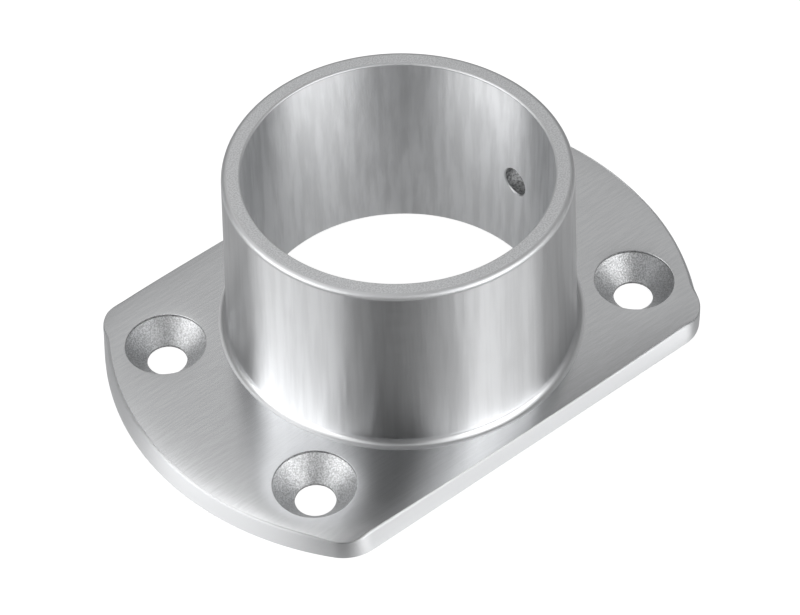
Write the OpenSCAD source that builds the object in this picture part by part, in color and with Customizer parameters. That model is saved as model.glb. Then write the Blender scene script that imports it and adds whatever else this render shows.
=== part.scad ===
// Base flange for a round tube: a collar on a flat foot with two cut sides.
// Millimetres. The origin is on the bore's axis at the underside, +Z points up out of the
// collar, and X runs along the two cut sides. Every radial size starts at the tube and works
// outwards: bore, collar wall, base fillet, countersinks, edge of the foot.

/* [Tube socket] */
// Outside diameter of the tube that slips into the collar
tube_d = 50.8; // [30:0.1:80]
// Gap between the tube and the bore, on each side
tube_gap = 0.1; // [0.05:0.01:0.5]
// Height of the rim above the underside
overall_h = 38.1; // [28:0.1:70]
// Depth of the chamfer that opens the foot of the bore, cut at 45 degrees
bore_foot_chamfer = 2.75; // [0.5:0.05:4]

/* [Collar] */
// Thickness of the collar's wall at the rim
collar_wall = 3.2; // [2.5:0.1:6]
// Draft of the collar's outside in degrees, wider towards the foot
collar_draft = 2; // [0:0.25:4]
// Radius of the rim's outer edge
rim_round = 0.9; // [0.3:0.1:1.2]
// Width of the 45 degree chamfer on the rim's inner edge
rim_chamfer = 0.4; // [0.1:0.1:0.8]
// Radius of the fillet between the collar and the foot
base_fillet = 2; // [0.6:0.1:4]

/* [Foot] */
// Thickness of the foot
foot_t = 4.5; // [4.3:0.1:9]
// Flat land between the base fillet and each cut side, at the narrowest place
side_land = 2.45; // [1.5:0.05:20]
// Land between a countersink and the round ends of the foot
end_land = 3.6; // [2:0.1:20]
// Radius of the four corners where the cut sides meet the round ends, seen from above
corner_r = 7.5; // [3:0.1:12]
// Radius of the foot's upper edge
edge_round = 0.6; // [0.2:0.1:1.2]
// Draft of the foot's sides in degrees, narrower towards the top
edge_draft = 5; // [0:0.5:8]
// Width of the 45 degree break on the foot's lower edge
edge_break = 0.2; // [0.1:0.1:0.6]

/* [Screw holes] */
// Diameter of the four screw holes
screw_hole_d = 6.8; // [6.4:0.1:10]
// Diameter of the countersinks at the foot's upper face
sink_d = 13.8; // [11:0.1:14.2]
// Included angle of the countersinks in degrees
sink_angle = 82; // [82:1:100]
// Land between the base fillet and a countersink
sink_land = 1.8; // [0.8:0.1:10]
// Direction of the screw holes from the long axis in degrees
screw_angle = 30; // [24:0.5:34]

/* [Set screw hole] */
// Diameter of the set screw's hole, at its tapping size
set_hole_d = 5.1; // [3:0.1:8]
// Distance of the set screw's hole below the rim
set_hole_drop = 19; // [10:0.1:22]

/* [Hidden] */

// Smoothness of the large circles and of the small ones
$fn = 128;
small_fn = 32;

// Overlap that lets a cutter run clear of the face that it starts from
clear = 1;
// Where a rounded face would only touch its neighbour, it crosses it by this much instead
proud = 0.005;

// Collar, from the bore outwards
bore_r = tube_d / 2 + tube_gap;
rim_r = bore_r + collar_wall;
wall_foot_r = rim_r + (overall_h - foot_t) * tan(collar_draft);
// A fillet in a corner wider than a right angle reaches a little less than its radius
fillet_reach = base_fillet * tan(45 - collar_draft / 2);
fillet_foot_r = wall_foot_r + fillet_reach;

// Screw holes, outside the base fillet
screw_hole_r = screw_hole_d / 2;
sink_r = sink_d / 2;
sink_slope = tan(sink_angle / 2);
sink_depth = (sink_r - screw_hole_r) / sink_slope;
screw_circle_r = fillet_foot_r + sink_land + sink_r;

// Outline of the foot, outside the countersinks and the base fillet, to a whole micron
foot_r = round(1000 * (screw_circle_r + sink_r + end_land)) / 1000;
foot_half_w = fillet_foot_r + side_land;
// Each plan corner touches a cut side and a round end. Its centre lies in the direction of
// the place where the corner and the round end meet, to a ten-thousandth of a degree.
corner_angle = round(10000 * asin((foot_half_w - corner_r) / (foot_r - corner_r))) / 10000;
corner_centre = (foot_r - corner_r) * [cos(corner_angle), sin(corner_angle), 0];

set_hole_z = overall_h - set_hole_drop;

// Section of a wall that stands from height 0 to height top, with its outer top edge rounded.
// Its outer side leans inwards by draft degrees and would meet the top at top_reach.
module rounded_wall_section(inner, top_reach, top, draft, edge_r) {
    foot_reach = top_reach + top * tan(draft);
    centre = [top_reach - edge_r * tan(45 - draft / 2), top - edge_r];
    difference() {
        union() {
            polygon([
                [inner, 0],
                [foot_reach, 0],
                centre + edge_r * [cos(draft), sin(draft)],
                centre,
                [centre.x, top],
                [inner, top]
            ]);
            translate(centre)
                circle(r = edge_r + proud, $fn = small_fn);
        }
        translate([inner, top])
            square([foot_reach - inner, clear]);
    }
}

// Section of the foot's edge, as wide as a plan corner, out to reach at the underside
module foot_edge_section(reach) {
    translate([reach, 0])
        difference() {
            rounded_wall_section(-corner_r, -foot_t * tan(edge_draft), foot_t, edge_draft,
                                 edge_round);
            polygon([
                [-edge_break - clear, -clear],
                [clear, -clear],
                [clear, edge_break + clear]
            ]);
        }
}

// Moves by whole millimetres, then by whole microns, then by the rest, to keep every digit
module place(v) {
    whole = [for (c = v) floor(c)];
    microns = [for (c = v - whole) floor(1000 * c) / 1000];
    translate(whole)
        translate(microns)
            translate(v - whole - microns)
                children();
}

// The edge along the +X end of the foot, from one plan corner to the other
module end_edge() {
    rotate_extrude(angle = 2 * corner_angle, start = -corner_angle)
        foot_edge_section(foot_r);
}

// The edge round the +X +Y plan corner, and along the cut side from there past the middle
module corner_and_side_edge() {
    place(corner_centre) {
        rotate_extrude(angle = 90 - corner_angle, start = corner_angle)
            foot_edge_section(corner_r);
        rotate([90, 0, -90])
            mirror([1, 0, 0])
                linear_extrude(height = corner_centre.x + clear)
                    foot_edge_section(corner_r);
    }
}

// The foot inside its edges
module foot_core() {
    linear_extrude(height = foot_t)
        intersection() {
            circle(r = foot_r - corner_r + clear);
            square(2 * [foot_r, corner_centre.y + clear], center = true);
        }
}

module foot() {
    foot_core();
    for (mx = [0, 1])
        mirror([mx, 0, 0]) {
            end_edge();
            for (my = [0, 1])
                mirror([0, my, 0])
                    corner_and_side_edge();
        }
}

// Section of the fillet between the collar and the foot, down to the underside
module fillet_section() {
    centre = [fillet_foot_r, foot_t + base_fillet];
    wall_touch = centre - base_fillet * [cos(collar_draft), sin(collar_draft)];
    difference() {
        polygon([
            [bore_r, 0],
            [centre.x, 0],
            centre,
            wall_touch,
            [bore_r, wall_touch.y]
        ]);
        translate(centre)
            circle(r = base_fillet + proud, $fn = small_fn);
    }
}

// The collar with its drafted outside, its rounded rim and its fillet, not yet bored
module collar() {
    rotate_extrude()
        union() {
            rounded_wall_section(bore_r - clear, rim_r, overall_h, collar_draft, rim_round);
            fillet_section();
        }
}

// The bore with its chamfers at the rim and at the foot
module bore() {
    rotate_extrude()
        polygon([
            [0, -clear],
            [bore_r + bore_foot_chamfer + clear, -clear],
            [bore_r, bore_foot_chamfer],
            [bore_r, overall_h - rim_chamfer],
            [bore_r + rim_chamfer + clear, overall_h + clear],
            [0, overall_h + clear]
        ]);
}

// One screw hole with its countersink, on the Z axis
module countersunk_hole() {
    translate([0, 0, -clear])
        cylinder(r = screw_hole_r, h = foot_t);
    translate([0, 0, foot_t - sink_depth])
        cylinder(r1 = screw_hole_r, r2 = sink_r + clear * sink_slope, h = sink_depth + clear);
}

// Two screw holes on each side of the cross axis
module screw_holes() {
    for (a = [screw_angle, 180 - screw_angle, 180 + screw_angle, 360 - screw_angle])
        translate([screw_circle_r * cos(a), screw_circle_r * sin(a), 0])
            countersunk_hole();
}

// The set screw's hole, through the collar's wall on the +X side only
module set_screw_hole() {
    translate([0, 0, set_hole_z])
        rotate([0, 90, 0])
            cylinder(d = set_hole_d, h = fillet_foot_r + clear);
}

module base_flange() {
    color("silver")
        difference() {
            union() {
                foot();
                collar();
            }
            bore();
            screw_holes();
            set_screw_hole();
        }
}

base_flange();
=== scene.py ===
"""Tube clamp base flange: its surfaces and finishes, the floor, the light and the camera.

Sizes are in millimetres, in the part's own frame, and become metres where a mesh or a node needs
them. The origin is on the bore's axis at the underside, and X runs along the two cut sides.
Angles are in degrees where they are given, and in radians where they are worked out.
"""

import math

import bpy
import numpy as np
from mathutils import Matrix, Vector
from mathutils.geometry import delaunay_2d_cdt

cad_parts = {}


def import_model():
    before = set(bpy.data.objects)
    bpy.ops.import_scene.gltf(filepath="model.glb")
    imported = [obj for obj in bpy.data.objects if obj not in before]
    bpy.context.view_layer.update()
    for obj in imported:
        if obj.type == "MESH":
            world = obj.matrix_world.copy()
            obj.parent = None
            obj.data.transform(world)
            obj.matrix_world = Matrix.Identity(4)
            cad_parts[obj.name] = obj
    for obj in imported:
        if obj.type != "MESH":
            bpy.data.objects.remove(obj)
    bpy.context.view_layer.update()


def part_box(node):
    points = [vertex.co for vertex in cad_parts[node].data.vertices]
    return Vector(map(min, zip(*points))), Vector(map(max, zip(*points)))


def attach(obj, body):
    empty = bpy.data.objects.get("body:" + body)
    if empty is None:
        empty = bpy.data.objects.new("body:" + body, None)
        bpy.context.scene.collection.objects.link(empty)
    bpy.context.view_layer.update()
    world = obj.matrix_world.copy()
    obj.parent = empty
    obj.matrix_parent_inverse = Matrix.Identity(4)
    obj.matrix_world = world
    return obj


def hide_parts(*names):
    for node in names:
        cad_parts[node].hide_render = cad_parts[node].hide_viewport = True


MM = 0.001

NODE = "base_flange"
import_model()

# Height of the rim above the underside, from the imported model
OVERALL_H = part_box(NODE)[1].z / MM

# The flange's other sizes, as in the part's source
BORE_R = 25.5
BORE_FOOT_CHAMFER = 2.75
RIM_R = 28.7
RIM_ROUND = 0.9
RIM_CHAMFER = 0.4
COLLAR_DRAFT = 2.0
FOOT_T = 4.5
FOOT_R = 51.005
FOOT_HALF_W = 34.255
CORNER_R = 7.5
EDGE_ROUND = 0.6
EDGE_BREAK = 0.2
SCREW_CIRCLE_R = 40.505
SCREW_ANGLE = 30.0
SCREW_HOLE_R = 3.4
SINK_R = 6.9
SINK_ANGLE = 82.0
SET_HOLE_R = 2.55
SET_HOLE_Z = 19.1

# From here to the upper face's waves come the forms that casting, polishing and wear have left.
# The base fillet looks tighter than the 2 mm that it is cast with.
BASE_FILLET = 1.4
# The short upright rim that the countersinks start with, and fine breaks on the holes' edges
SINK_RIM = 0.45
HOLE_BREAK = 0.08
SET_HOLE_BREAK = 0.2
# The middle of the rim's worn inner chamfer lies this share of its width below the rim, and as
# far outside the bore
RIM_WEAR = 0.42

# The crease where the foot's flat top starts, as a distance inside the outline: at the middle
# and the ends of the cut sides, at the corners, and on the narrow and the wide side of the round
# ends
CREASE_SIDE = 0.42
CREASE_SIDE_END = 1.05
CREASE_CORNER = 0.26
CREASE_END = 0.58
CREASE_END_WIDE = 1.2
# Where it widens along a round end, clockwise, and where it narrows again towards both corners,
# with 0 at the middle of the end and 1 at a corner
END_WIDENS = (-0.5, 0.2)
END_NARROWS = (0.86, 1.0)
# Where it widens round a corner, with 0 at the round end and 1 at the cut side
CORNER_WIDENS = (0.35, 1.0)
# The radius that turns over the crease is this share of the crease's distance and a little
# more, up to the edge's own radius
TURN_SHARE = 0.45
TURN_MORE = 0.1
# How far inside the outline the side starts, above the break on its lower edge
EDGE_FOOT_IN = 0.05

# The upper face has a crown that falls towards the cut sides, the round ends and the
# countersinks, each fall with its depth and how far it reaches
CROWN = 0.28
SIDE_FALL = 0.72
SIDE_FALL_REACH = 7.0
END_FALL = 0.36
END_FALL_REACH = 3.6
SINK_FALL = 0.12
SINK_FALL_REACH = 1.8
# Its long shallow waves: their height, and the length of a radian and the phase of each, two
# crossed waves along X and Y and a slanting one, which has a share of the height
WAVE = 0.012
WAVE_X = (9.0, 1.3)
WAVE_Y = (8.0, 0.4)
WAVE_SLANT = (6.1, 2.1)
WAVE_SLANT_SHARE = 0.6

# How finely the surfaces are cut
ROUND_STEPS = 288
HOLE_STEPS = 96
SET_HOLE_STEPS = 48
HOLE_WALL_STEPS = 4
ARC_STEPS = 10
FILLET_STEPS = 14
WALL_ROWS = 14
END_STEPS = 96
CORNER_STEPS = 32
SIDE_STEPS = 40
EDGE_STEPS = 5
TURN_STEPS = 6
# The upper face's points: the distance between those in even rows, the distances of the rings
# round its openings, the room that the even rows leave there, and the least room that all of
# them leave to an opening and to the outline
PLATE_STEP = 1.1
RINGS = (0.25, 0.55, 0.95, 1.5)
RINGS_ROOM = 1.8
OPENING_ROOM = 0.2
OUTLINE_ROOM = 1.5
# The collar walls' points leave this many radii free round the middle of the set screw's hole
SET_HOLE_ROOM = 1.2

# Values that follow from the sizes
WALL_SLOPE = math.tan(math.radians(COLLAR_DRAFT))
# A fillet or round beside a drafted wall reaches this share of its radius
ROUND_REACH = math.tan(math.radians(45 - COLLAR_DRAFT / 2))
WALL_FOOT_R = RIM_R + (OVERALL_H - FOOT_T) * WALL_SLOPE
FILLET_FOOT_R = WALL_FOOT_R + BASE_FILLET * ROUND_REACH
CORNER_Y = FOOT_HALF_W - CORNER_R
CORNER_X = math.sqrt((FOOT_R - CORNER_R) ** 2 - CORNER_Y ** 2)
CORNER_ANGLE = math.atan2(CORNER_Y, CORNER_X)
SINK_Z = FOOT_T - (SINK_R - SCREW_HOLE_R) / math.tan(math.radians(SINK_ANGLE / 2))
SCREW_CENTRES = [
    (SCREW_CIRCLE_R * math.cos(math.radians(a)), SCREW_CIRCLE_R * math.sin(math.radians(a)))
    for a in (SCREW_ANGLE, 180 - SCREW_ANGLE, 180 + SCREW_ANGLE, -SCREW_ANGLE)
]


# Shapes

class Skin:
    """Collects the flange's faces with exact normals, each with the finish that it carries.
    Normals may have any length."""

    def __init__(self):
        self.points = []
        self.lookup = {}
        self.faces = []
        self.normals = []
        self.finishes = []

    def vertex(self, point):
        key = tuple(round(c, 5) for c in point)
        if key not in self.lookup:
            self.lookup[key] = len(self.points)
            self.points.append(point)
        return self.lookup[key]

    def face(self, corners, finish):
        """corners is a list of (point, normal), anticlockwise as seen from outside."""
        indices = [self.vertex(p) for p, _ in corners]
        kept = [i for i in range(len(indices)) if indices[i] != indices[i - 1]]
        if len(kept) < 3:
            return
        self.faces.append([indices[i] for i in kept])
        self.normals.extend(corners[i][1] for i in kept)
        self.finishes.append(finish)

    def grid(self, rows, finish):
        """Four-sided faces between rows of (point, normal). The faces look to the side where
        going along a row turns anticlockwise into going to the next row."""
        for row, above in zip(rows, rows[1:]):
            for i in range(len(row) - 1):
                self.face([row[i], row[i + 1], above[i + 1], above[i]], finish)

    def hole(self, sections, finishes):
        """Joins the sections that follow each other round a hole. Each section is a list of
        bands from one end of the hole to the other, and each band has its finish."""
        for columns, finish in zip(zip(*sections), finishes):
            rows = [list(row) for row in zip(*columns)]
            self.grid(rows[::-1], finish)

    def build(self, name, materials):
        mesh = bpy.data.meshes.new(name)
        mesh.from_pydata([Vector(p) * MM for p in self.points], [], self.faces)
        names = list(materials)
        for finish in names:
            mesh.materials.append(materials[finish])
        mesh.polygons.foreach_set("material_index", [names.index(f) for f in self.finishes])
        mesh.polygons.foreach_set("use_smooth", [True] * len(self.faces))
        mesh.normals_split_custom_set([Vector(n).normalized() for n in self.normals])
        obj = bpy.data.objects.new(name, mesh)
        bpy.context.scene.collection.objects.link(obj)
        return obj


def mix(start, end, share):
    return start + (end - start) * share


def smooth(value, start, end):
    """Goes softly from 0 to 1 as value goes from start to end."""
    t = min(1.0, max(0.0, (value - start) / (end - start)))
    return t * t * (3 - 2 * t)


def full_turn(steps):
    """Directions all the way round, as (cosine, sine). The last is the first again."""
    angles = [2 * math.pi * (i % steps) / steps for i in range(steps + 1)]
    return [(math.cos(a), math.sin(a)) for a in angles]


def circle_points(centre, radius, steps):
    return [(centre[0] + radius * c, centre[1] + radius * s) for c, s in full_turn(steps)[:-1]]


def arc(centre_out, centre_z, radius, start, end, steps=ARC_STEPS):
    """A section along an arc, as ((outwards, up), normal), by degrees from straight outwards."""
    found = []
    for i in range(steps + 1):
        a = math.radians(start + (end - start) * i / steps)
        c, s = math.cos(a), math.sin(a)
        found.append(((centre_out + radius * c, centre_z + radius * s), (c, s)))
    return found


def line(start, end, normal):
    return [(start, normal), (end, normal)]


def around(centre, way, radius, z, normal):
    """A point round an upright axis, with a normal that is given as (outwards, up)."""
    c, s = way
    out, up = normal
    return (centre[0] + radius * c, centre[1] + radius * s, z), (out * c, out * s, up)


def revolve(skin, section, finish):
    """Turns a section of ((radius, height), normal) about the bore's axis. The section runs so
    that the outside of the metal lies on its right."""
    rows = []
    for (radius, z), normal in section:
        rows.append([around((0, 0), way, radius, z, normal) for way in full_turn(ROUND_STEPS)])
    skin.grid(rows, finish)


def inside(loop, places):
    """Says which of the places, rows of x and y, lie inside a closed loop of points."""
    ends = np.roll(loop, -1, axis=0)
    found = np.zeros(len(places), bool)
    for (x0, y0), (x1, y1) in zip(loop, ends):
        if y0 != y1:
            spans = (y0 > places[:, 1]) != (y1 > places[:, 1])
            crossing = x0 + (places[:, 1] - y0) * (x1 - x0) / (y1 - y0)
            found ^= spans & (places[:, 0] < crossing)
    return found


def triangles(loops, extra):
    """Fills the first loop with triangles, leaving out the loops inside it as holes."""
    points, edges = [], []
    for loop in loops:
        first = len(points)
        points.extend(loop)
        edges.extend((first + i, first + (i + 1) % len(loop)) for i in range(len(loop)))
    points.extend(extra)
    whole_hull, same_point = 0, 1e-6
    _, _, found, sources, _, _ = delaunay_2d_cdt(
        [Vector(p) for p in points], edges, [], whole_hull, same_point
    )
    faces = [[points[sources[i][0]] for i in face] for face in found]
    middles = np.array(faces).mean(1)
    kept = inside(np.array(loops[0]), middles)
    for loop in loops[1:]:
        kept &= ~inside(np.array(loop), middles)
    return [face for face, keep in zip(faces, kept) if keep]


# Foot

def side_crease(x):
    return mix(CREASE_SIDE, CREASE_SIDE_END, (x / CORNER_X) ** 2)


def end_crease(a):
    """The crease along a round end, which lies further in on one side of the end's middle."""
    along = math.remainder(a, math.pi) / CORNER_ANGLE
    crease = mix(CREASE_END, CREASE_END_WIDE, smooth(-along, *END_WIDENS))
    return mix(crease, CREASE_CORNER, smooth(abs(along), *END_NARROWS))


def corner_crease(a):
    past = abs(math.remainder(a, math.pi)) - CORNER_ANGLE
    along = past / (math.pi / 2 - CORNER_ANGLE)
    return mix(CREASE_CORNER, CREASE_SIDE_END, smooth(along, *CORNER_WIDENS))


def outline():
    """The foot's outline at the underside, anticlockwise: points with the direction outwards
    and the distance of the crease."""
    found = []

    def sweep(cx, cy, radius, start, end, steps, crease):
        for i in range(steps):
            a = start + (end - start) * i / steps
            c, s = math.cos(a), math.sin(a)
            found.append((cx + radius * c, cy + radius * s, c, s, crease(a)))

    def straight(x0, x1, side):
        for i in range(SIDE_STEPS):
            x = x0 + (x1 - x0) * i / SIDE_STEPS
            found.append((x, side * FOOT_HALF_W, 0.0, side, side_crease(x)))

    def corner(cx, cy, start, end):
        sweep(cx, cy, CORNER_R, start, end, CORNER_STEPS, corner_crease)

    # Half of the outline, then the same half turned by 180 degrees
    for side, turn in ((1.0, 0.0), (-1.0, math.pi)):
        x, y = side * CORNER_X, side * CORNER_Y
        end, quarter = CORNER_ANGLE, math.pi / 2
        sweep(0, 0, FOOT_R, turn - end, turn + end, END_STEPS, end_crease)
        corner(x, y, turn + end, turn + quarter)
        straight(x, -x, side)
        corner(-x, y, turn + quarter, turn + math.pi - end)
    return found


def moved_in(loop, inset=None):
    """The outline's points moved inwards, by inset or else to the crease."""
    found = []
    for x, y, nx, ny, crease in loop:
        by = crease if inset is None else inset
        found.append((x - nx * by, y - ny * by))
    return found


def inside_foot(p, inset):
    """Says whether a point of the foot's plan lies at least inset inside its outline."""
    x, y = abs(p[0]), abs(p[1])
    if x > CORNER_X and math.atan2(y - CORNER_Y, x - CORNER_X) > CORNER_ANGLE:
        return math.hypot(x - CORNER_X, y - CORNER_Y) < CORNER_R - inset
    return y < FOOT_HALF_W - inset and math.hypot(x, y) < FOOT_R - inset


def wave(place, length, phase):
    return math.sin(place / length + phase)


def plate_height(x, y):
    """How far the upper face lies above or below its plane."""
    crossed = wave(x, *WAVE_X) * wave(y, *WAVE_Y)
    h = CROWN + WAVE * (crossed + WAVE_SLANT_SHARE * wave(x + y, *WAVE_SLANT))
    h -= SIDE_FALL * math.exp((abs(y) - FOOT_HALF_W) / SIDE_FALL_REACH)
    h -= END_FALL * math.exp((math.hypot(x, y) - FOOT_R) / END_FALL_REACH)
    for cx, cy in SCREW_CENTRES:
        away = math.hypot(x - cx, y - cy) - SINK_R
        h -= SINK_FALL * math.exp(-max(0.0, away) / SINK_FALL_REACH)
    return h


def plate_point(x, y):
    """A point of the upper face with its normal."""
    d = 0.02
    slope_x = (plate_height(x + d, y) - plate_height(x - d, y)) / (2 * d)
    slope_y = (plate_height(x, y + d) - plate_height(x, y - d)) / (2 * d)
    return (x, y, FOOT_T + plate_height(x, y)), (-slope_x, -slope_y, 1.0)


def edge_section(crease, top_z, fall):
    """The foot's side, as ((outwards from the outline, up), normal). It ends at the crease, at
    height top_z, where the flat top falls outwards at an angle."""
    turn = min(EDGE_ROUND, TURN_SHARE * crease + TURN_MORE)
    centre_in = crease + turn * math.sin(fall)
    centre_z = top_z - turn * math.cos(fall)
    # The side leans in more and more, and meets the turn where both lean the same. A few rounds
    # of this settle it.
    lean = 0.0
    for _ in range(4):
        side_in = centre_in - turn * math.cos(lean)
        rise = centre_z + turn * math.sin(lean) - EDGE_BREAK
        lean = math.atan(2 * side_in / rise)
    section = [((-EDGE_BREAK - EDGE_FOOT_IN, 0.0), (1, -1))]
    for i in range(EDGE_STEPS + 1):
        t = i / EDGE_STEPS
        out = -EDGE_FOOT_IN * (1 - t) ** 2 - side_in * t ** 2
        tilt = (2 * side_in * t - 2 * EDGE_FOOT_IN * (1 - t)) / rise
        section.append(((out, EDGE_BREAK + rise * t), (1, tilt)))
    start, end = math.degrees(lean), 90 - math.degrees(fall)
    return section + arc(-centre_in, centre_z, turn, start, end, TURN_STEPS)[1:]


def foot_edge(skin):
    """The side of the foot with its polished upper edge and the break on its lower edge."""
    loop = outline()
    loop.append(loop[0])
    tops = [plate_point(x, y) for x, y in moved_in(loop)]
    sections = []
    for (_, _, nx, ny, crease), (point, normal) in zip(loop, tops):
        fall = math.atan(normal[0] * nx + normal[1] * ny)
        sections.append(edge_section(crease, point[2], fall))
    rows = []
    for level in zip(*sections):
        row = []
        for (x, y, nx, ny, _), ((out, z), (n_out, n_up)) in zip(loop, level):
            row.append(((x + nx * out, y + ny * out, z), (nx * n_out, ny * n_out, n_up)))
        rows.append(row)
    # The break is flat, and the highest row is the upper face's own border
    foot_break = [(point, normal) for (point, _), (_, normal) in zip(rows[1], rows[0])]
    skin.grid([rows[0], foot_break], "side")
    skin.grid(rows[1:-1] + [tops], "side")


def scatter(step):
    """Rows of points that cover the foot's plan, every other row shifted by half a step."""
    found = []
    for j in range(int(2 * FOOT_HALF_W / step) + 1):
        for i in range(int(2 * FOOT_R / step) + 1):
            x = -FOOT_R + (i + 0.5 * (j % 2)) * step
            found.append((x, -FOOT_HALF_W + j * step))
    return found


def upper_face(skin):
    """The foot's upper face, cut finest round its openings for the collar and the screws."""
    openings = [((0, 0), FILLET_FOOT_R, ROUND_STEPS)]
    openings += [(centre, SINK_R + HOLE_BREAK, HOLE_STEPS) for centre in SCREW_CENTRES]

    def clear_of_openings(p, room):
        return all(math.dist(p, centre) > radius + room for centre, radius, _ in openings)

    def fits(p):
        return inside_foot(p, OUTLINE_ROOM) and clear_of_openings(p, OPENING_ROOM)

    extra = []
    for away in RINGS:
        for centre, radius, steps in openings:
            extra += circle_points(centre, radius + away, steps)
    extra += [p for p in scatter(PLATE_STEP) if clear_of_openings(p, RINGS_ROOM)]
    loops = [moved_in(outline())]
    loops += [circle_points(*opening) for opening in openings]
    for corners in triangles(loops, [p for p in extra if fits(p)]):
        skin.face([plate_point(x, y) for x, y in corners], "plate")


def underside(skin):
    loops = [moved_in(outline(), EDGE_BREAK + EDGE_FOOT_IN)]
    loops.append(circle_points((0, 0), BORE_R + BORE_FOOT_CHAMFER, ROUND_STEPS))
    loops += [circle_points(c, SCREW_HOLE_R + HOLE_BREAK, HOLE_STEPS) for c in SCREW_CENTRES]
    for corners in triangles(loops, []):
        skin.face([((x, y, 0), (0, 0, -1)) for x, y in corners[::-1]], "under")


def screw_hole_section(centre, way):
    """A screw hole's bands from the underside up, in one direction round it: the lower break,
    the land, the cone, the upright rim and the break under the upper face."""
    edge_r = SINK_R + HOLE_BREAK
    top = plate_point(centre[0] + edge_r * way[0], centre[1] + edge_r * way[1])
    top_z = top[0][2]
    rim_z = top_z - SINK_RIM
    half = math.atan2(SINK_R - SCREW_HOLE_R, FOOT_T - SINK_RIM - SINK_Z)
    inwards, down_and_in = (-1, 0), (-1, -1)
    up_and_in = (-math.cos(half), math.sin(half))
    break_normal = (-0.5, 0.87)

    def at(radius, z, normal):
        return around(centre, way, radius, z, normal)

    cone = []
    for i in range(HOLE_WALL_STEPS + 1):
        t = i / HOLE_WALL_STEPS
        cone.append(at(mix(SCREW_HOLE_R, SINK_R, t), mix(SINK_Z, rim_z, t), up_and_in))
    return [
        [at(SCREW_HOLE_R + HOLE_BREAK, 0, down_and_in), at(SCREW_HOLE_R, HOLE_BREAK, down_and_in)],
        [at(SCREW_HOLE_R, HOLE_BREAK, inwards), at(SCREW_HOLE_R, SINK_Z, inwards)],
        cone,
        [at(SINK_R, rim_z, inwards), at(SINK_R, top_z - HOLE_BREAK, inwards)],
        [at(SINK_R, top_z - HOLE_BREAK, break_normal), top],
    ]


def screw_holes(skin):
    for centre in SCREW_CENTRES:
        sections = [screw_hole_section(centre, way) for way in full_turn(HOLE_STEPS)]
        # The breaks, the land and the countersinks' upright rims take the hole finish, whose dark
        # grey is painted shade
        skin.hole(sections, ["hole", "hole", "sink", "hole", "plate"])


# Collar

def outer_radius(z):
    return RIM_R + (OVERALL_H - z) * WALL_SLOPE


def collar_wall(skin, radius_at, low_z, high_z, sign, slope, finish):
    """A wall of the collar that looks outwards, sign 1, or inwards, sign -1, pierced by the set
    screw's hole. It is laid out flat as (u, z), where u is the way round at its mean radius."""
    mean_r = radius_at((low_z + high_z) / 2)
    lean = math.atan(slope)
    out, up = sign * math.cos(lean), sign * math.sin(lean)

    def place(u, z):
        a = u / mean_r
        return around((0, 0), (math.cos(a), math.sin(a)), radius_at(z), z, (out, up))

    def clear_of_hole(u, z):
        y = radius_at(z) * math.sin(u / mean_r)
        far_side = abs(u) > mean_r
        return far_side or math.hypot(y, z - SET_HOLE_Z) > SET_HOLE_R * SET_HOLE_ROOM

    half = math.pi * mean_r
    us = [half * (2 * i / ROUND_STEPS - 1) for i in range(ROUND_STEPS + 1)]
    zs = [mix(low_z, high_z, j / WALL_ROWS) for j in range(WALL_ROWS + 1)]
    border = [(u, zs[0]) for u in us[:-1]] + [(us[-1], z) for z in zs[:-1]]
    border += [(u, zs[-1]) for u in us[:0:-1]] + [(us[0], z) for z in zs[:0:-1]]
    hole = []
    for y, z in circle_points((0, SET_HOLE_Z), SET_HOLE_R + SET_HOLE_BREAK, SET_HOLE_STEPS):
        hole.append((mean_r * math.asin(y / radius_at(z)), z))
    extra = [(u, z) for u in us[1:-1] for z in zs[1:-1] if clear_of_hole(u, z)]
    for corners in triangles([border, hole], extra):
        ordered = corners if sign > 0 else corners[::-1]
        skin.face([place(u, z) for u, z in ordered], finish)


def fillet(skin, section):
    """The fillet between the collar and the foot, whose foot follows the upper face."""
    (_, high_z), _ = section[-1]
    rows = []
    for (radius, z), (out, up) in section:
        low_share = 1 - (z - FOOT_T) / (high_z - FOOT_T)
        row = []
        for c, s in full_turn(ROUND_STEPS):
            rise = plate_height(FILLET_FOOT_R * c, FILLET_FOOT_R * s) * low_share ** 2
            row.append(around((0, 0), (c, s), radius, z + rise, (-out, -up)))
        rows.append(row)
    # The lowest row takes the upper face's own normal, so no line shows between them
    rows[0] = [(p, plate_point(p[0], p[1])[1]) for p, _ in rows[0]]
    skin.grid(rows, "fillet")


def collar(skin):
    lean = math.radians(COLLAR_DRAFT)
    fillet_z = FOOT_T + BASE_FILLET
    wall_low = fillet_z - BASE_FILLET * math.sin(lean)
    fillet(skin, arc(FILLET_FOOT_R, fillet_z, BASE_FILLET, 270, 180 + COLLAR_DRAFT, FILLET_STEPS))
    round_r = RIM_R - RIM_ROUND * ROUND_REACH
    round_z = OVERALL_H - RIM_ROUND
    wall_high = round_z + RIM_ROUND * math.sin(lean)
    collar_wall(skin, outer_radius, wall_low, wall_high, 1, WALL_SLOPE, "wall")
    revolve(skin, arc(round_r, round_z, RIM_ROUND, COLLAR_DRAFT, 90), "rim_round")
    rim_inner = (BORE_R + RIM_CHAMFER, OVERALL_H)
    revolve(skin, line((round_r, OVERALL_H), rim_inner, (0, 1)), "rim")
    # The chamfer's edges are worn, so its shine turns from the rim's to the bore's
    chamfer_z = OVERALL_H - RIM_CHAMFER
    worn = (BORE_R + RIM_WEAR * RIM_CHAMFER, OVERALL_H - RIM_WEAR * RIM_CHAMFER)
    chamfer = [(rim_inner, (0, 1)), (worn, (-0.6, 0.8)), ((BORE_R, chamfer_z), (-1, 0))]
    revolve(skin, chamfer, "rim_round")
    collar_wall(skin, lambda z: BORE_R, BORE_FOOT_CHAMFER, chamfer_z, -1, 0, "bore")
    foot_high, foot_low = (BORE_R, BORE_FOOT_CHAMFER), (BORE_R + BORE_FOOT_CHAMFER, 0)
    revolve(skin, line(foot_high, foot_low, (-1, -1)), "bore")


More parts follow.
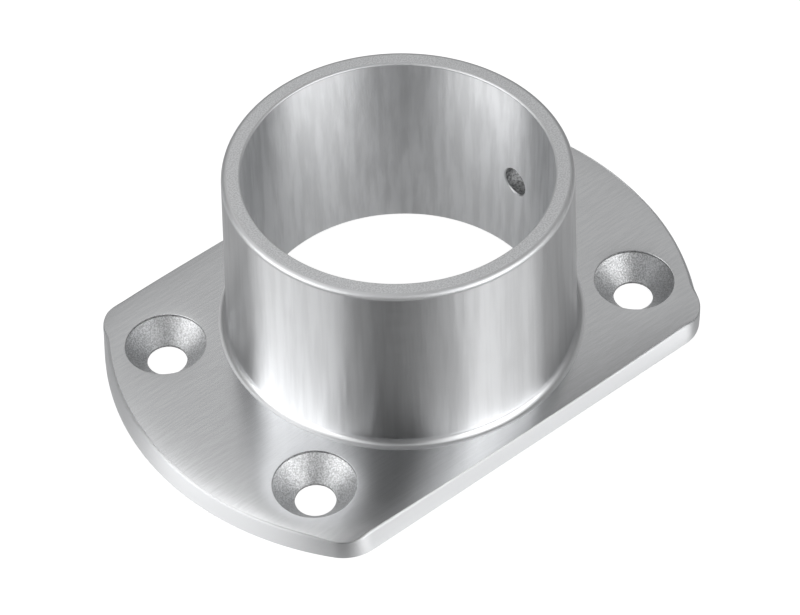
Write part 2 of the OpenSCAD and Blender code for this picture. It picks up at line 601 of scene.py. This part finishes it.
def set_hole_section(way):
    """The set screw's hole in one direction round it, from the bore outwards: the inner break,
    the hole's wall and the outer break."""
    c, s = way
    y, z = SET_HOLE_R * c, SET_HOLE_Z + SET_HOLE_R * s
    edge_r = SET_HOLE_R + SET_HOLE_BREAK
    edge_y, edge_z = edge_r * c, SET_HOLE_Z + edge_r * s
    x_in = math.sqrt(BORE_R ** 2 - edge_y ** 2)
    x_out = math.sqrt(outer_radius(edge_z) ** 2 - edge_y ** 2)
    start, end = x_in + SET_HOLE_BREAK, x_out - SET_HOLE_BREAK
    shares = [i / HOLE_WALL_STEPS for i in range(HOLE_WALL_STEPS + 1)]
    return [
        line((x_in, edge_y, edge_z), (start, y, z), (-1, -c, -s)),
        [((mix(start, end, t), y, z), (0, -c, -s)) for t in shares],
        line((end, y, z), (x_out, edge_y, edge_z), (1, -c, -s)),
    ]


def set_hole(skin):
    sections = [set_hole_section(way) for way in full_turn(SET_HOLE_STEPS)]
    # The hole's wall takes the hole finish, whose dark grey is painted shade
    skin.hole(sections, ["rim_round", "hole", "rim_round"])


# Materials

# The steel's grey, and its slight tint
STEEL = 0.7
TINT = (1.0, 1.01, 1.024)
# The middle of a noise, and how far to either side of it the roughness follows it
NOISE_MIDDLE = 0.5
ROUGHNESS_SPAN = 0.2
# How far an offset moves a noise along each axis, so that two noises don't coincide
NOISE_SHIFT = (1.0, 0.7, 1.3)
# Where the colour sockets of a Mix node stand among its sockets
MIX_FIRST, MIX_SECOND, MIX_RESULT = 6, 7, 2
RANGE_SOCKETS = ("From Min", "From Max", "To Min", "To Max")


class Nodes:
    """Makes and joins the nodes of a node tree."""

    def __init__(self, tree):
        self.tree = tree

    def node(self, kind, **settings):
        made = self.tree.nodes.new(kind)
        for name, value in settings.items():
            setattr(made, name, value)
        return made

    def feed(self, socket, value):
        """Links another node's output to a socket, or sets the socket to a plain value."""
        if isinstance(value, bpy.types.NodeSocket):
            self.tree.links.new(value, socket)
        else:
            socket.default_value = value

    def maths(self, operation, *values):
        made = self.node("ShaderNodeMath", operation=operation)
        for socket, value in zip(made.inputs, values):
            self.feed(socket, value)
        return made.outputs[0]

    def vector_maths(self, operation, *values):
        made = self.node("ShaderNodeVectorMath", operation=operation)
        for socket, value in zip(made.inputs, values):
            self.feed(socket, value)
        return made.outputs["Value"]

    def ranged(self, value, start, end, low=0.0, high=1.0, curve="SMOOTHSTEP"):
        """Goes from low to high as a value goes from start to end."""
        made = self.node("ShaderNodeMapRange", interpolation_type=curve)
        self.feed(made.inputs["Value"], value)
        for name, limit in zip(RANGE_SOCKETS, (start, end, low, high)):
            self.feed(made.inputs[name], limit)
        return made.outputs["Result"]


class Steel(Nodes):
    """A steel finish: a metal shader with a fine relief, whose colour and roughness may vary.
    Its marks are given by the size of their lumps in millimetres, one for all directions or one
    each along X, Y and Z."""

    def __init__(self, name, grey, roughness, across=0.0):
        self.material = bpy.data.materials.new(name)
        self.material.use_nodes = True
        super().__init__(self.material.node_tree)
        self.shader = self.tree.nodes["Principled BSDF"]
        self.colour = [grey * tint for tint in TINT] + [1]
        self.roughness = roughness
        self.set("Metallic", 1.0)
        self.set("Base Color", self.colour)
        self.set("Roughness", roughness)
        if across:
            # Brushing that runs round the axis spreads a reflection across itself, up and down
            self.set("Anisotropic", across)
            self.set("Anisotropic Rotation", 0.25)
            tangent = self.node("ShaderNodeTangent", direction_type="RADIAL", axis="Z")
            self.set("Tangent", tangent.outputs["Tangent"])
        self.place = self.node("ShaderNodeTexCoord").outputs["Object"]
        self.bump = self.node("ShaderNodeBump")
        self.feed(self.bump.inputs["Distance"], MM)
        self.set("Normal", self.bump.outputs["Normal"])
        self.height = None

    def set(self, name, value):
        self.feed(self.shader.inputs[name], value)

    def noise(self, sizes, detail=3, rough=0.6, offset=0.0):
        if not isinstance(sizes, tuple):
            sizes = (sizes, sizes, sizes)
        mapping = self.node("ShaderNodeMapping")
        self.feed(mapping.inputs["Scale"], [1 / (size * MM) for size in sizes])
        self.feed(mapping.inputs["Location"], [offset * share for share in NOISE_SHIFT])
        self.feed(mapping.inputs["Vector"], self.place)
        made = self.node("ShaderNodeTexNoise")
        self.feed(made.inputs["Scale"], 1.0)
        self.feed(made.inputs["Detail"], detail)
        self.feed(made.inputs["Roughness"], rough)
        self.feed(made.inputs["Vector"], mapping.outputs["Vector"])
        return made.outputs["Fac"]

    def relief(self, height, sizes, **noise):
        """Adds a relief, height millimetres from its lowest to its highest places."""
        lifted = self.maths("MULTIPLY", self.noise(sizes, **noise), height)
        if self.height is not None:
            lifted = self.maths("ADD", self.height, lifted)
        self.height = lifted
        self.feed(self.bump.inputs["Height"], lifted)

    def vary_roughness(self, share, sizes, **noise):
        """Lets the roughness go up and down by a share of itself."""
        low, high = self.roughness * (1 - share), self.roughness * (1 + share)
        start, end = NOISE_MIDDLE - ROUGHNESS_SPAN, NOISE_MIDDLE + ROUGHNESS_SPAN
        found = self.noise(sizes, **noise)
        self.set("Roughness", self.ranged(found, start, end, low, high, "LINEAR"))

    def shade(self, low, high, sizes, span=0.15, **noise):
        """Scales the colour between low and high. A smaller span gives harder patches."""
        start, end = NOISE_MIDDLE - span, NOISE_MIDDLE + span
        found = self.noise(sizes, **noise)
        blend = self.node("ShaderNodeMix", data_type="RGBA", blend_type="MULTIPLY")
        self.feed(blend.inputs["Factor"], 1.0)
        self.feed(blend.inputs[MIX_FIRST], self.colour)
        self.feed(blend.inputs[MIX_SECOND], self.ranged(found, start, end, low, high))
        self.set("Base Color", blend.outputs[MIX_RESULT])


def foot_finishes():
    # Satin, with faint brushing along X
    plate = Steel("plate_satin", STEEL, 0.22)
    plate.relief(0.002, (3.0, 0.2, 0.3))
    plate.shade(0.96, 1.02, (5.0, 0.35, 1.0), offset=8.0)
    plate.vary_roughness(0.06, 7, offset=4.0)

    # Polished along the edge, over the casting's shallow waves
    side = Steel("side_polished", 0.76, 0.52, across=0.9)
    side.relief(0.002, (1.2, 1.2, 0.14))
    side.relief(0.02, (5, 5, 3), detail=2, rough=0.5, offset=2.0)

    under = Steel("underside_cast", STEEL * 0.92, 0.45)
    under.relief(0.012, 0.35)
    under.relief(0.012, 2.5, detail=2, rough=0.5, offset=3.0)
    under.vary_roughness(0.15, 6, offset=5.0)

    # The grain of the casting, light and dark
    sink = Steel("countersink_cast", STEEL * 0.88, 0.48)
    sink.relief(0.1, 0.3, detail=2)
    sink.shade(0.74, 1.18, 0.26, span=0.12, detail=2, offset=6.0)

    # Cast, unpolished and stained in patches; its dark grey is painted shade, standing for the
    # shade inside the holes
    hole = Steel("hole_cast_painted_shade", 0.38, 0.5)
    hole.relief(0.14, 0.4)
    hole.shade(0.6, 1.5, 0.4, offset=6.0)
    return {
        "plate": plate.material,
        "side": side.material,
        "under": under.material,
        "sink": sink.material,
        "hole": hole.material,
    }


def collar_finishes():
    # Fine brushing round the axis, over long upright streaks
    wall = Steel("collar_brushed", STEEL, 0.37, across=1.0)
    wall.relief(0.006, (4.0, 4.0, 0.22))
    wall.relief(0.07, (3.0, 3.0, 30.0), rough=0.5, offset=1.0)
    wall.shade(0.95, 1.04, (1.6, 1.6, 24.0), rough=0.55, offset=8.0)
    wall.vary_roughness(0.06, (5, 5, 1.2), offset=3.0)

    polished_fillet = Steel("fillet_polished", STEEL, 0.34)
    polished_fillet.relief(0.001, (2.5, 2.5, 0.2))

    rim = Steel("rim_grain", 0.75, 0.42)
    rim.relief(0.035, 0.26)
    rim.shade(0.91, 1.14, 0.26, span=0.12, offset=8.0)

    rim_round = Steel("rim_round", STEEL, 0.48)
    rim_round.relief(0.03, 0.3)

    # Cast, with upright streaks and small lumps, and less shiny at a glancing angle
    bore = Steel("bore_cast", 0.83, 0.5, across=0.9)
    bore.set("Specular Tint", (0.3, 0.3, 0.3, 1))
    bore.relief(0.0012, (1.2, 1.2, 0.16))
    bore.relief(0.07, (2.4, 2.4, 16.0), rough=0.55, offset=1.0)
    bore.relief(0.02, (0.9, 0.9, 1.3), detail=2, rough=0.5, offset=7.0)
    bore.shade(0.92, 1.05, (1.7, 1.7, 14.0), rough=0.55, offset=8.0)
    bore.vary_roughness(0.1, (3, 3, 5), offset=3.0)
    return {
        "wall": wall.material,
        "fillet": polished_fillet.material,
        "rim_round": rim_round.material,
        "rim": rim.material,
        "bore": bore.material,
    }


def flange():
    skin = Skin()
    foot_edge(skin)
    upper_face(skin)
    underside(skin)
    screw_holes(skin)
    collar(skin)
    set_hole(skin)
    obj = skin.build("flange_skin", {**foot_finishes(), **collar_finishes()})
    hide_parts(NODE)
    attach(obj, "root")


# Floor, light and camera

# The studio's light by direction. The room's even light leaves out a dark side: its azimuth and
# half width, and the softness of its edges. Each soft box: its azimuth and half width, the
# softness of its upright edges, its lowest and highest elevation, their softness, and its
# strength.
ROOM_LIGHT = 0.22
DARK_SIDE = (228, 46, 5)
SOFT_BOXES = [
    (169, 28, 2, 3, 28, 8, 3.2),
    (148, 7, 2, 3, 28, 8, 0.9),
    (170, 37, 4, 28, 62, 7, 1.2),
    (143, 8, 5, 30, 62, 8, 0.9),
    (256, 9, 5, 3, 60, 8, 0.9),
    (289, 25, 3, 3, 28, 8, 2.9),
    (278, 9, 4, 3, 28, 8, 1.2),
    (290, 28, 5, 28, 62, 7, 1.3),
    (231, 28, 10, 40, 60, 6, 0.13),
    (284, 9, 6, 30, 60, 8, 0.9),
    (50, 45, 15, 32, 54, 6, 0.36),
    (92, 34, 12, 56, 72, 6, 2.1),
]

# How bright the white floor is to the camera. In the metal's reflections it is a pool of light
# that falls off with the distance from the object, and sooner towards the dark side.
FLOOR_SEEN = 0.95
POOL_NEAR = 0.45
POOL_FAR = 0.15
POOL_FALLS = (60, 320)
POOL_DARK_SHARE = 0.35
POOL_DARKENS = (47, 66)
FLOOR_GREY = 0.2
FLOOR_HALF = 2500
# The floor lies this little below the underside, so that the two don't share a plane
FLOOR_DROP = 0.02

# The camera looks at a point on the bore's axis, which it has off the middle of its frame
CAMERA_AZIMUTH = 38.455
CAMERA_ELEVATION = 46.533
CAMERA_DISTANCE = 478.95
CAMERA_TARGET_Z = 20.0
CAMERA_TARGET_DOWN = 9.98
CAMERA_ROLL = -1.627
CAMERA_LENS = 129.47
CAMERA_SENSOR = 36
CAMERA_CLIP = 10


def floor():
    s, z = FLOOR_HALF * MM, -FLOOR_DROP * MM
    mesh = bpy.data.meshes.new("floor")
    mesh.from_pydata([(-s, -s, z), (s, -s, z), (s, s, z), (-s, s, z)], [], [(0, 1, 2, 3)])
    obj = bpy.data.objects.new("floor", mesh)
    bpy.context.scene.collection.objects.link(obj)
    material = bpy.data.materials.new("floor_white")
    material.use_nodes = True
    material.node_tree.nodes.clear()
    nodes = Nodes(material.node_tree)
    rays = nodes.node("ShaderNodeLightPath").outputs
    mirrored = nodes.maths("MAXIMUM", rays["Is Glossy Ray"], rays["Is Transmission Ray"])
    seen = nodes.maths("MULTIPLY", rays["Is Camera Ray"], FLOOR_SEEN)
    place = nodes.node("ShaderNodeTexCoord").outputs["Object"]
    near, far = (distance * MM for distance in POOL_FALLS)
    fallen = nodes.ranged(nodes.vector_maths("LENGTH", place), near, far)
    pool = nodes.maths("MULTIPLY_ADD", fallen, POOL_FAR - POOL_NEAR, POOL_NEAR)
    dark = math.radians(DARK_SIDE[0])
    towards = (math.cos(dark), math.sin(dark), 0)
    near, far = (distance * MM for distance in POOL_DARKENS)
    darkened = nodes.ranged(nodes.vector_maths("DOT_PRODUCT", place, towards), near, far)
    kept = nodes.maths("MULTIPLY_ADD", darkened, POOL_DARK_SHARE - 1, 1.0)
    glow = nodes.node("ShaderNodeEmission")
    strength = nodes.maths("MULTIPLY_ADD", mirrored, nodes.maths("MULTIPLY", pool, kept), seen)
    nodes.feed(glow.inputs["Strength"], strength)
    diffuse = nodes.node("ShaderNodeBsdfDiffuse")
    nodes.feed(diffuse.inputs["Color"], (FLOOR_GREY, FLOOR_GREY, FLOOR_GREY, 1))
    both = nodes.node("ShaderNodeAddShader")
    nodes.feed(both.inputs[0], diffuse.outputs[0])
    nodes.feed(both.inputs[1], glow.outputs[0])
    out = nodes.node("ShaderNodeOutputMaterial")
    nodes.feed(out.inputs["Surface"], both.outputs[0])
    mesh.materials.append(material)


def world():
    shell = bpy.data.worlds.new("studio")
    bpy.context.scene.world = shell
    shell.use_nodes = True
    shell.node_tree.nodes.clear()
    nodes = Nodes(shell.node_tree)
    way = nodes.node("ShaderNodeSeparateXYZ")
    nodes.feed(way.inputs[0], nodes.node("ShaderNodeTexCoord").outputs["Generated"])
    x, y, z = way.outputs
    azimuth = nodes.maths("DEGREES", nodes.maths("ARCTAN2", y, x))
    elevation = nodes.maths("DEGREES", nodes.maths("ARCSINE", z))

    def side(middle, half_width, soft):
        """1 within the half width of an azimuth, and softly 0 outside it."""
        turned = nodes.maths("WRAP", nodes.maths("SUBTRACT", azimuth, middle), 180.0, -180.0)
        away = nodes.maths("ABSOLUTE", turned)
        return nodes.ranged(away, half_width + soft, half_width - soft)

    light = nodes.maths("MULTIPLY_ADD", side(*DARK_SIDE), -ROOM_LIGHT, ROOM_LIGHT)
    for middle, half_width, soft, low, high, fade, strength in SOFT_BOXES:
        up = nodes.ranged(elevation, low - fade, low + fade)
        down = nodes.ranged(elevation, high + fade, high - fade)
        upright = nodes.maths("MULTIPLY", up, down)
        lit = nodes.maths("MULTIPLY", side(middle, half_width, soft), upright)
        light = nodes.maths("MULTIPLY_ADD", lit, strength, light)
    background = nodes.node("ShaderNodeBackground")
    nodes.feed(background.inputs["Strength"], light)
    nodes.feed(background.inputs["Color"], (1, 1, 1, 1))
    out = nodes.node("ShaderNodeOutputWorld")
    nodes.feed(out.inputs["Surface"], background.outputs[0])


def camera():
    a, e = math.radians(-CAMERA_AZIMUTH), math.radians(CAMERA_ELEVATION)
    back = Vector((math.sin(a) * math.cos(e), -math.cos(a) * math.cos(e), math.sin(e)))
    right = (-back).cross(Vector((0, 0, 1))).normalized()
    up = right.cross(-back)
    turn = Matrix.Rotation(math.radians(CAMERA_ROLL), 3, back)
    right, up = turn @ right, turn @ up
    data = bpy.data.cameras.new("camera")
    data.sensor_width = CAMERA_SENSOR
    data.lens = CAMERA_LENS
    data.clip_start = CAMERA_CLIP * MM
    obj = bpy.data.objects.new("camera", data)
    bpy.context.scene.collection.objects.link(obj)
    target = Vector((0, 0, CAMERA_TARGET_Z)) - up * CAMERA_TARGET_DOWN
    place = (target + back * CAMERA_DISTANCE) * MM
    turned = Matrix((right, up, back)).transposed().to_4x4()
    obj.matrix_world = Matrix.Translation(place) @ turned
    bpy.context.scene.camera = obj


camera()
flange()
floor()
world()
bpy.context.scene.view_settings.view_transform = "Standard"
